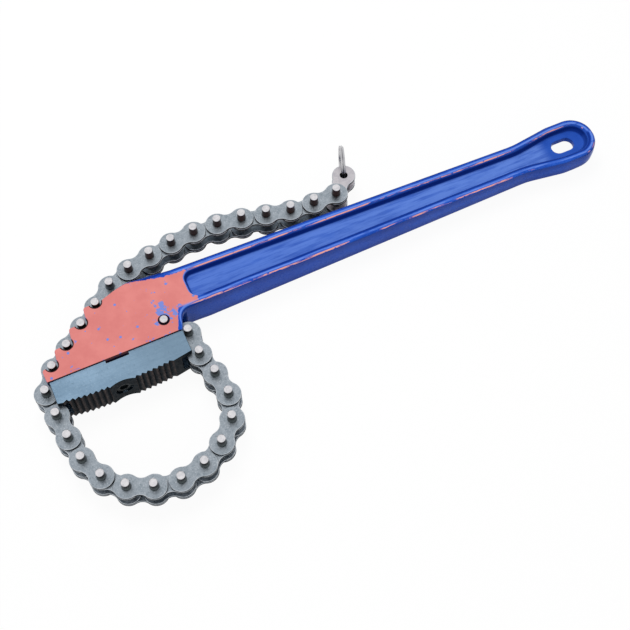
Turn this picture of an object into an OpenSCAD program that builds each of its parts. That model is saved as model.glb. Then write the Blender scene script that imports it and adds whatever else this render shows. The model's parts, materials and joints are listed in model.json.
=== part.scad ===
// Chain wrench for pipe: a forged handle with a notched head, a bolted-on toothed jaw
// and a bush chain whose long pins hook into the notches.
// The XY plane is the tool's mid-plane. The origin is the middle of the jaw's gripping face,
// +X runs along the handle and the pipe lies on the -Y side.

/* [Chain] */
// Distance between neighbouring chain pins
pitch = 15.875; // [15.5:0.025:16.25]
// Diameter of the chain pins
pin_d = 5.08; // [4.6:0.02:5.4]
// Length of the chain pins
pin_len = 27.5; // [25.5:0.25:30]
// Chamfer on the ends of the pins
pin_chamfer = 0.5; // [0.2:0.1:0.8]
// Height of the link plates at their round ends
plate_h = 15.1; // [13.6:0.1:15.3]
// Height of the link plates at the waist
waist_h = 10.2; // [8.6:0.1:11.5]
// Thickness of the link plates
plate_t = 1.7; // [1.3:0.1:2]
// Clear width between the two inner plates
bush_len = 6.35; // [5.5:0.05:7]
// Outside diameter of the bushes
bush_d = 7.3; // [6.8:0.1:8.2]
// Running clearance between a pin and its bush, on the radius
pin_play = 0.06; // [0.02:0.01:0.1]
// Play between an inner and an outer plate
side_play = 0.15; // [0.1:0.05:0.3]
// Clearance on the radius of the slack pivot at the bottom of the loop
slack_play = 0.4; // [0.3:0.05:0.5]

/* [Head] */
// Thickness over the two cheeks of the head
head_t = 24; // [22:0.5:25]
// Distance of the anchor pin inside the jaw's end
anchor_in = 7.9; // [7:0.1:8.5]
// Height of the anchor pin above the jaw's seat
anchor_rise = 10.5; // [9.5:0.25:12.5]
// Distance of the first notch inside the jaw's other end
notch_in = 4.96; // [4:0.02:6]
// Height of the first notch above the jaw's seat
notch_rise = 9.55; // [8.75:0.05:10.5]
// Slope of the row of notches
notch_slope = 38; // [36:0.5:40]
// Clearance between a pin and the bottom of its notch
notch_play = 0.75; // [0.6:0.05:1]
// Length of the shelf that leads into a notch
shelf_l = 8; // [7.5:0.1:8.5]
// Depth of the shelf below the middle of the pin in its notch
shelf_drop = 0.55; // [0.3:0.05:0.8]
// Roundness of the tips of the hooked teeth
hook_round = 1.8; // [0.8:0.1:2.2]
// Reach of the nose beyond the first notch
nose_l = 6.5; // [6:0.1:8]
// Lean of the nose's front towards the jaw
nose_lean = 0.4; // [0:0.1:1]
// Roundness of the nose's lower corner
nose_round = 1; // [0.5:0.1:1.5]
// Distance from the anchor pin back to the crest of the head
crest_back = 10.7; // [9:0.1:12]
// Roundness of the crest of the head
crest_round = 12; // [8:1:16]
// Distance from the anchor pin forward to the shoulder under the handle
shoulder_out = 12.8; // [12:0.1:14]
// Roundness of the shoulder under the handle
shoulder_round = 7; // [5:0.5:9]
// Clearance between the jaw's end and the chain pin that hangs beside it
near_gap = 0.5; // [0.4:0.05:1]
// Clearance between the jaw's other end and the chain pin that rises beside it
far_gap = 1.3; // [1:0.1:1.6]
// Clearance between the chain and each side of its slot
slot_play = 0.6; // [0.3:0.05:0.9]
// Clearance between the plates and the bottom of their slot
slot_back = 0.75; // [0.5:0.05:1.5]
// Depth of the sunk ring around the anchor pin
anchor_sink = 0.8; // [0.4:0.1:1.5]
// Width of the sunk ring around the anchor pin
anchor_ring = 0.8; // [0.4:0.1:1.2]

/* [Jaw] */
// Length of the jaw
jaw_l = 84.2; // [79:0.1:89]
// Thickness of the jaw
jaw_t = 23.6; // [22:0.2:25]
// Height of the jaw from its seat to the teeth at the middle
jaw_h = 17; // [15.5:0.25:20]
// Amount by which the jaw is lower at its ends
jaw_end_rise = 3.2; // [2:0.1:4]
// Number of teeth on each side of the arch
teeth = 7; // [5:1:8]
// Spacing of the teeth
tooth_pitch = 3.5; // [3:0.1:3.8]
// Height of the teeth
tooth_h = 1.2; // [0.8:0.05:1.5]
// Share of the spacing taken by a tooth's long flank
tooth_lean = 0.83; // [0.7:0.01:0.9]
// Width of the arch between the two rows of teeth
arch_w = 16.8; // [15:0.2:19]
// Depth of the arch's curve
arch_sag = 2.6; // [1.5:0.1:3]
// Depth of the chain slots in the jaw's ends
jaw_slot_l = 7; // [6:0.25:8]
// Length of the key between the jaw and the head
key_l = 14; // [12:0.5:16]
// Height of the key
key_h = 1; // [0.8:0.1:1.5]
// Clearance beside the key
key_play = 0.2; // [0.1:0.05:0.4]
// Clearance above the key
key_gap = 0.9; // [0.3:0.1:1.2]

/* [Jaw screw] */
// Diameter of the jaw screw
screw_d = 6; // [5:0.5:6.5]
// Diameter of the jaw screw's head
screw_head_d = 10; // [9.5:0.25:11]
// Height of the jaw screw's head
screw_head_h = 6; // [5:0.5:7]
// Depth of the screw's head below the arch
screw_sink = 0.8; // [0.4:0.1:1.5]
// Length of the screw inside the forging
screw_grip = 12; // [9:0.5:14]
// Clearance around the screw in the jaw
screw_play = 0.3; // [0.2:0.05:0.5]
// Width across the flats of the hexagon socket
hex_af = 5; // [4:0.5:5.5]
// Depth of the hexagon socket
hex_depth = 3; // [2:0.5:4]

/* [Handle] */
// Distance of the handle's end from the jaw's centre plane
handle_end = 341.8; // [320:0.2:370]
// Height of the handle's centreline above the anchor pin
handle_rise = 16.4; // [16:0.1:17]
// Width of the handle where it leaves the head
root_w = 28.2; // [27:0.2:29]
// Width of the handle at its neck
neck_w = 22.2; // [20:0.2:24]
// Thickness of the handle at its neck
neck_t = 14; // [13:0.25:16]
// Width of the bulb at the handle's end
bulb_w = 29.2; // [27:0.2:32]
// Length of the bulb with its flare, from the handle's end
bulb_l = 54; // [48:1:60]
// Roundness of the flare between the neck and the bulb
flare_round = 60; // [40:5:80]
// Roundness of the bulb's shoulders
bulb_round = 30; // [20:1:35]
// Distance between the widest place of the bulb and its middle
bulb_back = 1; // [0:0.5:3]
// Roundness left off the bulb's end, so that its tip is flat
bulb_flat = 0.4; // [0.2:0.1:2]
// Width of the rim around the recess
rim_w = 4.8; // [4:0.1:5.5]
// Depth of the recess in each face
recess_d = 4.8; // [3:0.1:5.2]
// Start of the recess, measured from the anchor pin
recess_start = 21.5; // [19:0.5:26]
// Roundness of the corners where the recess starts
recess_round = 5.5; // [4:0.5:7]
// Start of the handle's taper, measured from the anchor pin
taper_start = 16; // [14:0.5:20]
// Length of the hanging hole
hole_l = 17.5; // [13:0.5:18.5]
// Width of the hanging hole
hole_w = 10.5; // [8:0.5:12]
// Distance of the hanging hole's centre from the handle's end
hole_in = 22.3; // [20:0.1:24]

/* [Ring] */
// Mean diameter of the split ring
ring_d = 23; // [21:0.5:28]
// Diameter of the ring's wire
wire_d = 1.5; // [1.2:0.1:1.8]
// Clearance of the ring in the last link
ring_play = 0.3; // [0.15:0.05:0.5]
// Direction in which the ring lies
ring_turn = 70; // [45:5:95]

/* [Hidden] */
$fn = 72;
eps = 0.01;
pin_r = pin_d / 2;
bore_r = pin_r + pin_play;
plate_r = plate_h / 2;
inner_w = bush_len + 2 * plate_t;
outer_in = inner_w / 2 + side_play;
chain_w = 2 * (outer_in + plate_t);
slot_w = chain_w + 2 * slot_play;
slot_r = plate_r + slot_back;
notch_r = pin_r + notch_play;
seat_y = jaw_h;
anchor = [jaw_l / 2 - anchor_in, seat_y + anchor_rise];
axis_y = anchor[1] + handle_rise;
flare_x = handle_end - bulb_l;
bulb_x = handle_end - bulb_l / 2 - bulb_back;
recess_x = anchor[0] + recess_start;
taper_x = anchor[0] + taper_start;
shoulder_x = anchor[0] + shoulder_out;
first_notch = 16;
notches = 4;
// Free swing of the first link away from the jaw
first_swing = 20;

// The loop hangs from the anchor pin beside one end of the jaw
near_dir = -acos((jaw_l / 2 + pin_r + near_gap - anchor[0]) / pitch);
near_pin = anchor + pitch * dir(near_dir);
// and rises to the first notch beside the other end
notch_1 = [notch_in - jaw_l / 2, seat_y + notch_rise];
far_x = -jaw_l / 2 - pin_r - far_gap;
far_pin = [far_x, notch_1[1] - sqrt(pitch * pitch - pow(notch_1[0] - far_x, 2))];
far_dir = angle(notch_1 - far_pin);
// Directions of the links in the two halves of the loop, before the halves are turned to meet
half_1 = [-87, -76, -82, -105, -134, -150, -168];
half_2 = [171, 156, 134, 115, 100, 96, 94];
chord_1 = pitch * sum([for (a = half_1) dir(a)]);
chord_2 = pitch * sum([for (a = half_2) dir(a)]);
span = far_pin - near_pin;
fold = acos((span * span - chord_1 * chord_1 - chord_2 * chord_2) / (2 * norm(chord_1) * norm(chord_2)));
lead = angle(span) - angle(norm(chord_1) * dir(0) + norm(chord_2) * dir(-fold));
turn_1 = lead - angle(chord_1);
turn_2 = lead - fold - angle(chord_2);
tail = [24, 14, 11, 6, -2, -9, -14, -13, -4, 2, 47];
// Directions of all links, from the anchor pin round the loop, through the notches and along the tail
link_dir = concat(
    [near_dir],
    [for (a = half_1) a + turn_1],
    [for (a = half_2) a + turn_2],
    [far_dir],
    [for (k = [1 : notches]) notch_slope],
    tail
);
last = len(link_dir) - 1;
// Link whose first pivot has the slack that closes the loop
slack_link = 8;
nose_x = notch_1[0] - nose_l;
// Corners of a notch beside its pin, kept inside the circle that clears the pin
wall_in = 0.88 * notch_r;
wall_drop = 0.09 * notch_r;
arch_top = y_tip(arch_w / 2) + arch_sag;
screw_seat = arch_top + screw_sink + screw_head_h;

function two(i) = i < 10 ? str("0", i) : str(i);
function dir(a) = [cos(a), sin(a)];
function unit(v) = v / norm(v);
function angle(v) = atan2(v[1], v[0]);
function sum(v, i = 0) = i == len(v) - 1 ? v[i] : v[i] + sum(v, i + 1);
function turn(a, b, c) = cross(b - a, c - b);
// Place of a chain pin, found by walking along the links from the anchor pin
function pin_at(i) = i == 0 ? anchor : pin_at(i - 1) + pitch * dir(link_dir[i - 1]);
function notch_at(k) = notch_1 + k * pitch * dir(notch_slope);
// Point given along and across the row of notches
function row(s, d) = notch_1 + s * dir(notch_slope) + d * dir(notch_slope + 90);
// Height of the tooth tips across the jaw, highest at its ends
function y_tip(x) = jaw_end_rise * pow(abs(x) / (jaw_l / 2), 3);
// Half width of the handle between the head and the neck
function half_w(x) = (root_w + (neck_w - root_w) * (x - taper_x) / (flare_x - taper_x)) / 2;

function flat(v) = [v[0], v[1]];
// Tangent points and centre of the arc that rounds a corner
function fillet(a, b, c, r) =
    let (
        u = unit(a - b),
        w = unit(c - b),
        half = acos(u * w) / 2
    )
    [b + u * r / tan(half), b + w * r / tan(half), b + unit(u + w) * r / sin(half)];

// Outline with corners [x, y, radius], anticlockwise, rounded by true arcs
module rounded(corners) {
    n = len(corners);
    p = [for (c = corners) flat(c)];
    arc = [for (i = [0 : n - 1])
        corners[i][2] > 0 ? fillet(p[(i + n - 1) % n], p[i], p[(i + 1) % n], corners[i][2]) : []];
    bend = [for (i = [0 : n - 1]) turn(p[(i + n - 1) % n], p[i], p[(i + 1) % n])];
    difference() {
        union() {
            polygon([for (i = [0 : n - 1]) each corners[i][2] > 0 ? [arc[i][0], arc[i][1]] : [p[i]]]);
            for (i = [0 : n - 1])
                if (corners[i][2] > 0 && bend[i] > 0)
                    corner_arc(p[i], arc[i], corners[i][2]);
        }
        for (i = [0 : n - 1])
            if (corners[i][2] > 0 && bend[i] < 0)
                corner_arc(p[i], arc[i], corners[i][2]);
    }
}

// Sliver between the chord and the arc of one rounded corner
module corner_arc(corner, arc, r) {
    intersection() {
        translate(arc[2]) circle(r = r);
        polygon([arc[0], corner, arc[1]]);
    }
}

// Plan of one link plate: two round ends joined by a hollowed waist
module plate_plan() {
    w = waist_h / 2;
    hollow = (pitch * pitch / 4 + w * w - plate_r * plate_r) / (2 * (plate_r - w));
    touch = [pitch / 2, w + hollow] * plate_r / (plate_r + hollow);
    difference() {
        union() {
            circle(r = plate_r);
            translate([pitch, 0]) circle(r = plate_r);
            translate([touch[0], -touch[1]]) square([pitch - 2 * touch[0], 2 * touch[1]]);
        }
        for (s = [1, -1])
            translate([pitch / 2, s * (w + hollow)]) circle(r = hollow);
    }
}

module plate(near_r, far_r) {
    linear_extrude(plate_t)
        difference() {
            plate_plan();
            circle(r = near_r);
            translate([pitch, 0]) circle(r = far_r);
        }
}

// Pin along Z with chamfered ends
module pin() {
    h = pin_len / 2;
    rotate_extrude()
        polygon([
            [0, -h], [pin_r - pin_chamfer, -h], [pin_r, pin_chamfer - h],
            [pin_r, h - pin_chamfer], [pin_r - pin_chamfer, h], [0, h]
        ]);
}

// Moves a link from the X axis to its place in the chain
module at_link(i) {
    translate(pin_at(i)) rotate(link_dir[i]) children();
}

module bush(hole_r) {
    linear_extrude(bush_len, center = true)
        difference() {
            circle(d = bush_d);
            circle(r = hole_r);
        }
}

module inner_link(i) {
    near_r = i == slack_link ? pin_r + slack_play : bore_r;
    color([0.42, 0.46, 0.54])
        at_link(i) {
            translate([0, 0, bush_len / 2]) plate(near_r, bore_r);
            translate([0, 0, -inner_w / 2]) plate(near_r, bore_r);
            bush(near_r);
            translate([pitch, 0, 0]) bush(bore_r);
        }
}

module outer_plates(i) {
    color([0.46, 0.50, 0.58])
        at_link(i) {
            translate([0, 0, outer_in]) plate(pin_r, pin_r);
            translate([0, 0, -outer_in - plate_t]) plate(pin_r, pin_r);
        }
}

module pins(i) {
    color([0.85, 0.86, 0.88])
        at_link(i)
            for (x = [0, pitch])
                translate([x, 0, 0]) pin();
}

module anchor_pin() {
    color([0.85, 0.86, 0.88]) translate(anchor) pin();
}

// Step of the head's edge at one notch: the wall above the pin, then the shelf that leads to it
function step_at(k, shelf) = [
    concat(notch_at(k) + [wall_in, -wall_drop], [0]),
    concat(notch_at(k) + [-wall_in, -shelf_drop], [0]),
    concat(notch_at(k) + [-shelf, -shelf_drop], [hook_round])
];

// Plan of the forging: head with its hooked teeth, handle, neck and bulb
module forging_plan() {
    bulb_r = bulb_w / 2 - bulb_flat;
    rounded(concat(
        [
            [nose_x + nose_lean, seat_y, nose_round],
            [-key_l / 2, seat_y, 0],
            [-key_l / 2, seat_y - key_h, 0],
            [key_l / 2, seat_y - key_h, 0],
            [key_l / 2, seat_y, 0],
            [jaw_l / 2, seat_y, nose_round],
            [shoulder_x, axis_y - half_w(shoulder_x), shoulder_round],
            [flare_x, axis_y - neck_w / 2, flare_round],
            [bulb_x, axis_y - bulb_w / 2, bulb_round],
            [handle_end, axis_y - bulb_w / 2, bulb_r],
            [handle_end, axis_y + bulb_w / 2, bulb_r],
            [bulb_x, axis_y + bulb_w / 2, bulb_round],
            [flare_x, axis_y + neck_w / 2, flare_round],
            [taper_x, axis_y + half_w(taper_x), 0],
            [anchor[0] - crest_back, axis_y + root_w / 2, crest_round]
        ],
        [for (k = [notches - 1 : -1 : 0]) each step_at(k, k > 0 ? shelf_l : nose_l)]
    ));
}

// Half of the handle's side view above a line that lies deep under its face
module side_half(deep) {
    polygon([
        [-jaw_l, -deep], [taper_x, -deep], [flare_x, neck_t / 2 - head_t / 2 - deep],
        [handle_end + neck_t, neck_t / 2 - head_t / 2 - deep], [handle_end + neck_t, head_t], [-jaw_l, head_t]
    ]);
}

// Turns a side view into a block across the handle, its zero line at the head's face
module across(side) {
    mirror([0, 0, side > 0 ? 0 : 1])
        translate([0, axis_y + 2 * root_w, head_t / 2])
            rotate([90, 0, 0])
                linear_extrude(4 * root_w) children();
}

// Plan of the recess in the handle's faces
module recess_plan() {
    b = bulb_w / 2 - rim_w;
    bend = bulb_round - rim_w;
    rounded([
        [recess_x, axis_y - half_w(recess_x) + rim_w, recess_round],
        [flare_x, axis_y - neck_w / 2 + rim_w, flare_round],
        [bulb_x, axis_y - b, bend],
        [handle_end - rim_w, axis_y - b, b - bulb_flat],
        [handle_end - rim_w, axis_y + b, b - bulb_flat],
        [bulb_x, axis_y + b, bend],
        [flare_x, axis_y + neck_w / 2 - rim_w, flare_round],
        [recess_x, axis_y + half_w(recess_x) - rim_w, recess_round]
    ]);
}

// Plan of the slot behind the notches, followed by the last links of the loop
module nose_slot_plan() {
    bend = notch_1 + slot_r / cos((far_dir - notch_slope) / 2) * dir((far_dir + notch_slope) / 2 - 90);
    low = notch_1 + slot_r * dir(far_dir - 90) - 3 * pitch * dir(far_dir);
    high = row((notches + 3) * pitch, -slot_r);
    polygon([
        low, bend, high,
        high + 5 * pitch * dir(notch_slope + 90), row(-6 * pitch, 6 * pitch), row(-6 * pitch, -2 * pitch)
    ]);
}

// Plan of the pocket in which the first link swings on the anchor pin
module anchor_pocket_plan() {
    a = near_dir;
    b = a + first_swing;
    low = anchor + slot_r * dir(a - 90);
    high = anchor + slot_r * dir(b + 90);
    translate(anchor) circle(r = slot_r);
    polygon([anchor, low, low + 3 * pitch * dir(a), high + 3 * pitch * dir(b), high]);
}

module handle() {
    color([0.10, 0.19, 0.62])
        difference() {
            linear_extrude(head_t, center = true)
                difference() {
                    forging_plan();
                    for (k = [0 : notches - 1])
                        translate(notch_at(k)) circle(r = notch_r);
                }
            for (s = [1, -1]) {
                across(s) side_half(0);
                intersection() {
                    linear_extrude(2 * head_t, center = true) recess_plan();
                    across(s) side_half(recess_d);
                }
            }
            translate([handle_end - hole_in, axis_y, 0])
                linear_extrude(2 * head_t, center = true) {
                    square([hole_l - hole_w, hole_w], center = true);
                    for (s = [1, -1])
                        translate([s * (hole_l - hole_w) / 2, 0]) circle(d = hole_w);
                }
            linear_extrude(slot_w, center = true) nose_slot_plan();
            linear_extrude(slot_w, center = true) anchor_pocket_plan();
            translate(anchor) cylinder(r = pin_r, h = 2 * head_t, center = true);
            for (s = [1, -1])
                translate([anchor[0], anchor[1], s * head_t / 2])
                    cylinder(r = pin_r + anchor_ring, h = 2 * anchor_sink, center = true);
            translate([0, seat_y - 2 * key_h, 0])
                rotate([-90, 0, 0]) cylinder(d = screw_d, h = screw_grip + 2 * key_h + screw_play);
        }
}

// Place along the jaw, counted in teeth from the edge of the arch, at a height above the tips
function on_jaw(s, n, h) =
    let (x = arch_w / 2 + n * tooth_pitch)
    [s * x, y_tip(x) + h];
// One row of teeth, from the edge of the arch outwards, with steep inner flanks in the notches
function tooth_row(s) = [for (i = [0 : teeth]) each
    i < teeth ? [on_jaw(s, i, 0), on_jaw(s, i + 1 - tooth_lean, tooth_h)] : [on_jaw(s, i, 0)]];
function backwards(v) = [for (i = [len(v) - 1 : -1 : 0]) v[i]];

module jaw_plan() {
    half = jaw_l / 2;
    k = key_l / 2 + key_play;
    key_top = seat_y - key_h - key_gap;
    r = (arch_w * arch_w / 4 + arch_sag * arch_sag) / (2 * arch_sag);
    difference() {
        polygon(concat(
            [[-half, jaw_end_rise]],
            backwards(tooth_row(-1)),
            tooth_row(1),
            [[half, jaw_end_rise], [half, seat_y], [k, seat_y], [k, key_top], [-k, key_top], [-k, seat_y], [-half, seat_y]]
        ));
        translate([0, arch_top - r]) circle(r = r, $fn = 180);
    }
}

module jaw() {
    color([0.55, 0.62, 0.70])
        difference() {
            linear_extrude(jaw_t, center = true) jaw_plan();
            for (s = [1, -1])
                translate([s * jaw_l / 2, seat_y / 2, 0])
                    cube([2 * jaw_slot_l, 3 * jaw_h, slot_w], center = true);
            rotate([-90, 0, 0]) cylinder(r = screw_d / 2 + screw_play, h = 2 * jaw_h);
            translate([0, -jaw_h, 0])
                rotate([-90, 0, 0]) cylinder(r = screw_head_d / 2 + screw_play, h = jaw_h + screw_seat);
        }
}

module jaw_screw() {
    color([0.18, 0.19, 0.21])
        translate([0, screw_seat, 0])
            rotate([-90, 0, 0])
                difference() {
                    union() {
                        translate([0, 0, -screw_head_h]) cylinder(d = screw_head_d, h = screw_head_h);
                        cylinder(d = screw_d, h = seat_y - screw_seat + screw_grip);
                    }
                    translate([0, 0, -screw_head_h - eps])
                        cylinder(d = hex_af / cos(30), h = hex_depth + eps, $fn = 6);
                }
}

// Split ring of two coils, hooked through the free end of the last link
module ring() {
    r = ring_d / 2;
    reach = bore_r - ring_play + sqrt(pow(r - wire_d / 2, 2) - pow(inner_w / 2, 2));
    color([0.62, 0.63, 0.66])
        translate(pin_at(last) + pitch * dir(link_dir[last]))
            rotate(ring_turn)
                translate([reach, 0, 0])
                    rotate([90, 0, 0])
                        rotate_extrude()
                            for (s = [1, -1])
                                translate([r, s * 0.46 * wire_d]) circle(d = wire_d);
}

handle();
jaw();
jaw_screw();
anchor_pin();
for (i = [0 : 2 : last])
    inner_link(i);
for (i = [1 : 2 : last])
    outer_plates(i);
for (i = [1 : 2 : last])
    pins(i);
ring();
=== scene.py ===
# Chain wrench: detailed pieces, materials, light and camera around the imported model
import json
import math

import bmesh
import bpy
from mathutils import Matrix, Vector
from mathutils.geometry import delaunay_2d_cdt


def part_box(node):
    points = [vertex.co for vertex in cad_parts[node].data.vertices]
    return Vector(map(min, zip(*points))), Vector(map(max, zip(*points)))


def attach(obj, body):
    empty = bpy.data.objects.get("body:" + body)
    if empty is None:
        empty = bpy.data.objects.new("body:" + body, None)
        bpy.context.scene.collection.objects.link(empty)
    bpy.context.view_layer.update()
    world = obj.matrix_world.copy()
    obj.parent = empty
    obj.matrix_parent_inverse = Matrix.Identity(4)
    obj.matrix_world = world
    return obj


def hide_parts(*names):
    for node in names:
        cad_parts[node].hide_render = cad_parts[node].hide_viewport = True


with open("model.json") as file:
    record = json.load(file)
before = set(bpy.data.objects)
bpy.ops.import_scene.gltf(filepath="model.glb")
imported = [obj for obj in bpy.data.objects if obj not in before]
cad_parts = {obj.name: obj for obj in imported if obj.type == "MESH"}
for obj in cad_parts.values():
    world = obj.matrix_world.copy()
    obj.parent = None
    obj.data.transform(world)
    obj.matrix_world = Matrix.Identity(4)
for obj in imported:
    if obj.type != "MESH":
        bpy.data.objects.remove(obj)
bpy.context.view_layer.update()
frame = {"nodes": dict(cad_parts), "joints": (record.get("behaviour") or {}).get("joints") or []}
nodes = frame["nodes"]
joint_at = {j["name"]: Vector(j["pos_m"]) for j in frame["joints"]}
scene = bpy.context.scene
MM = 0.001
TO_MM = 1000
TURN = 2 * math.pi

# Chain; sizes are in millimetres where no heading says otherwise
PITCH = 15.875
LINKS = 31
OPEN_PIN = 8
HOOKED_PIN = 16
TAIL_FROM = 21
PIN_R = 2.54
PIN_LEN = 27.5
PLATE_R = 7.55
WAIST = 5.1
PLATE_T = 1.7
PLATE_SOFT = 0.3
BUSH_LEN = 6.35
BUSH_R = 3.65
BORE_R = 2.6
SLACK_R = 2.94
SIDE_PLAY = 0.15

# Profile of a pin's end: radius, and drop below the end
PIN_END = [(0.0, 0.1), (0.5, 0.1), (1.1, 0.0), (PIN_R - 0.62, 0.0), (PIN_R - 0.5, 0.04), (PIN_R - 0.1, 0.44),
           (PIN_R, 0.62)]

# Head: seat of the jaw, anchor pin, notches, crest, and the slot in which the chain runs
HEAD_T = 24.0
SEAT_Y = 17.0
SEAT_ROUND = 1.0
ANCHOR = Vector((34.2, 27.5))
ANCHOR_GAP = 0.8
ANCHOR_SINK = 0.8
NOTCHES = 4
NOTCH_1 = Vector((-37.14, 26.55))
NOTCH_R = 3.7
NOTCH_SLOPE = math.radians(38)
NOTCH_WALL = Vector((0.88, -0.09))
SHELF_L = 8.0
SHELF_DROP = 0.55
HOOK_ROUND = 1.8
NOSE_L = 6.5
NOSE_LEAN = 0.4
CREST_X = 21.5
CREST_RISE = 2.8
CREST_ROUND = 10.0
SLOT_W = 14.65
SLOT_R = 8.3
FIRST_SWING = math.radians(20)

# Handle, bulb and hanging hole
AXIS_Y = 44.3
SHOULDER_X = 47.0
SHOULDER_ROUND = 7.0
TAPER_X = 50.2
ROOT_W = 29.0
FLARE_X = 289.4
FLARE_ROUND = 60.0
FLARE_EASE = 6.0
NECK_W = 23.0
NECK_T = 14.0
BULB_X = 315.4
BULB_W = 30.8
BULB_ROUND = 30.0
BULB_FLAT = 0.4
HANDLE_END = 343.4
HOLE_X = 321.5
HOLE_L = 15.5
HOLE_W = 9.5

# Recess of the handle
RIM_W = 5.3
RECESS_X = 55.7
RECESS_D = 4.8
RECESS_ROUND = 5.5
RECESS_MOUTH = 0.9

# Offsets outwards and depths below the face: the recess's wall, and the brim of the hanging hole
RECESS_RINGS = [(1.45, 0.0), (1.0, 0.08), (0.6, 0.28), (0.28, 0.62), (0.06, 1.1), (-0.12, 1.8), (-0.28, 2.6),
                (-0.46, 3.3), (-0.78, 3.95), (-1.25, 4.45), (-1.85, 4.72), (-2.5, 4.8)]
HOLE_RINGS = [(0.7, 0.0), (0.2, 0.25), (0.0, 0.8)]

# Roundness of the forging's edges: what a stretch adds, where it starts and where it is full
EDGE_SHARP = 0.45
EDGE_DRAFT = 0.14
EDGE_STEPS = [math.radians(a) for a in (0, 15, 30, 45, 60, 75, 90)]
CREST_SOFT = (1.25, 12.0, 24.0)
BULB_SOFT = (0.6, FLARE_X, BULB_X)
LOWER_SOFT = (0.85, 42.6, 47.5)
LOWER_FROM = 41.0
SHOULDER_SOFT = (1.1, 19.0, 24.0)
SHOULDER_FADE = (1.0, 52.0, 66.0)
END_SOFT = (1.0, HANDLE_END - 22, HANDLE_END - 8)
UPPER_SHARE = (1.0, AXIS_Y - 8, AXIS_Y + 4)
WALL_RUN = (0.8, BULB_X + 4, HANDLE_END - 8)

# Jaw, its key and its screw
JAW_HALF = 42.1
JAW_RISE = 3.2
JAW_T = 22.4
JAW_DROP = 1.1
JAW_SLOT = 7.0
JAW_SOFT = 0.2
JAW_FRONT_Y = 12.0
ARCH_OFF = 2.7
ARCH_HALF = 7.95
ARCH_SAG = 1.7
TEETH = 7
TEETH_FAR = 8
TOOTH_PITCH = 3.5
TOOTH_H = 1.4
TOOTH_LEAN = 0.66
KEY_HALF = 7.0
KEY_H = 1.0
KEY_PLAY = 0.2
KEY_GAP = 0.9
SCREW_HEAD_R = 5.3
SCREW_R = 3.3
SCREW_SEAT = 7.4
SCREW_SHIFT = -2.0
SCREW_SOFT = 0.25
CUT_LOW = -20.0
CUT_HIGH = 40.0

# Split ring: angles where the wire starts, steps to its second turn and stops short of two turns
RING_R = 11.5
WIRE_R = 0.75
WIRE_SIDES = 14
WIRE_STEPS = 150
WIRE_SPREAD = 0.92
WIRE_THIN = 0.98
WIRE_TIP = 0.8
RING_START = 0.9
RING_SHORT = 0.35
RING_STEP = (-0.75, 0.4)

# Angles in degrees over which an edge shows sharp, and those of the bevels
FORGING_CREASE = 38
CHAIN_CREASE = 45
JAW_CREASE = 30
RING_CREASE = 50
BEVEL_ANGLE = 25
FLAT_ANGLE = 0.5

# Steps of the arcs in radians, and how close points become one
ARC_STEP = 0.14
END_STEP = 0.09
WAIST_STEP = 0.06
ARCH_STEP = 0.05
SLOT_STEP = 0.1
SUNK_STEP = 0.12
MERGE = 1e-7

# Parts of a face's normal along Z above which it counts as flat, or as a softened edge
PLATE_FLAT = 0.97
PLATE_RIM = 0.3
PIN_FLAT = 0.35
JAW_FLAT = 0.95
JAW_RIM = 0.2

# Paint: where the coral coat ends, and stretches of the handle over which a coat, a painted highlight, a
# painted sheen or a painted shade comes or goes
COAT_X = 58.6
COAT_MARGIN = (14, 46, 0.2, 3.8)
COAT_SHOULDER_Y = (31.0, 33.0)
SHEEN_GROWS = (60, 285, 0.75, 1.0)
SHEEN_ENDS = (303, 312)
FRINGE_HIGHLIGHT_ENDS = (RECESS_X + 2, RECESS_X + 9)
BEND_HIGHLIGHT_X = (40, 41, 50, 58)
HIGHLIGHTS_START = (46, 54)
LOW_SHADE_BAND_START = (60, 66)
WEAR_X = (60, 230)

# Paint: bands of painted shade, painted highlight and wear inwards from the handle's edge, then bands in
# depth below the face
EDGE_SHADE_BAND = (1.2, 1.9)
HIGH_HIGHLIGHT_BAND = (2.4, 2.9, 3.6, 4.1)
LOW_HIGHLIGHT_BAND = (1.5, 1.8, 2.6, 3.1)
LOW_SHADE_BAND = (3.2, 3.6, 4.5, 5.0)
HIGH_WEAR = (4.0, 4.2, 4.7, 5.0)
LOW_WEAR = (0.2, 0.35, 1.0, 1.3)
FLAT_DEPTH = (0.2, 0.32)
BEND_HIGHLIGHT_DEPTH = (0.02, 0.15, 0.45, 0.9)
FRINGE_HIGHLIGHT_DEPTH = (0.02, 0.2, 0.6, 1.1)
WALL_SHADE_DEPTH = (0.9, 1.8, 4.0, 4.6)
SHEEN_DEPTH = (4.2, 4.75)

# Paint: shares of its noises over which a tone comes in, some with the tone's least and most
MOTTLE = (0.35, 0.68)
HIGH_HIGHLIGHT_STREAK = (0.36, 0.46, 0.2, 0.85)
LOW_HIGHLIGHT_STREAK = (0.38, 0.5, 0.2, 0.85)
SHEEN_STREAK = (0.32, 0.6, 0.35, 0.95)

# Floor, lamps and camera: the floor's half width and the lamps' places in metres, powers in watts
FLOOR_Z = -PIN_LEN / 2
FLOOR_HALF = 6.0
FLOOR_GLOW = 0.94
FLOOR_WHITE = (0.95, 0.95, 0.95, 1)
SKY_LIGHT = 0.42
LAMP_SIZE = 0.6
LAMPS = [("key", (0.1, 0.4, 1.0), (0.1, 0.03, 0), 7.6), ("fill", (-0.1, -0.8, 0.6), (0.1, 0.0, 0), 1.6)]
LENS = 68.57
SENSOR = 36.0
CAMERA_AT = Vector((-17.5, -306.8, 657.75))
CAMERA_RIGHT = Vector((0.9106, -0.4134, 0.0))
CAMERA_AHEAD = Vector((0.1877, 0.4134, -0.8910))


# Directions in plan, and eased rises between two places
def along(a):
    return Vector((math.cos(a), math.sin(a)))


def heading(v):
    return math.atan2(v.y, v.x)


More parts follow.
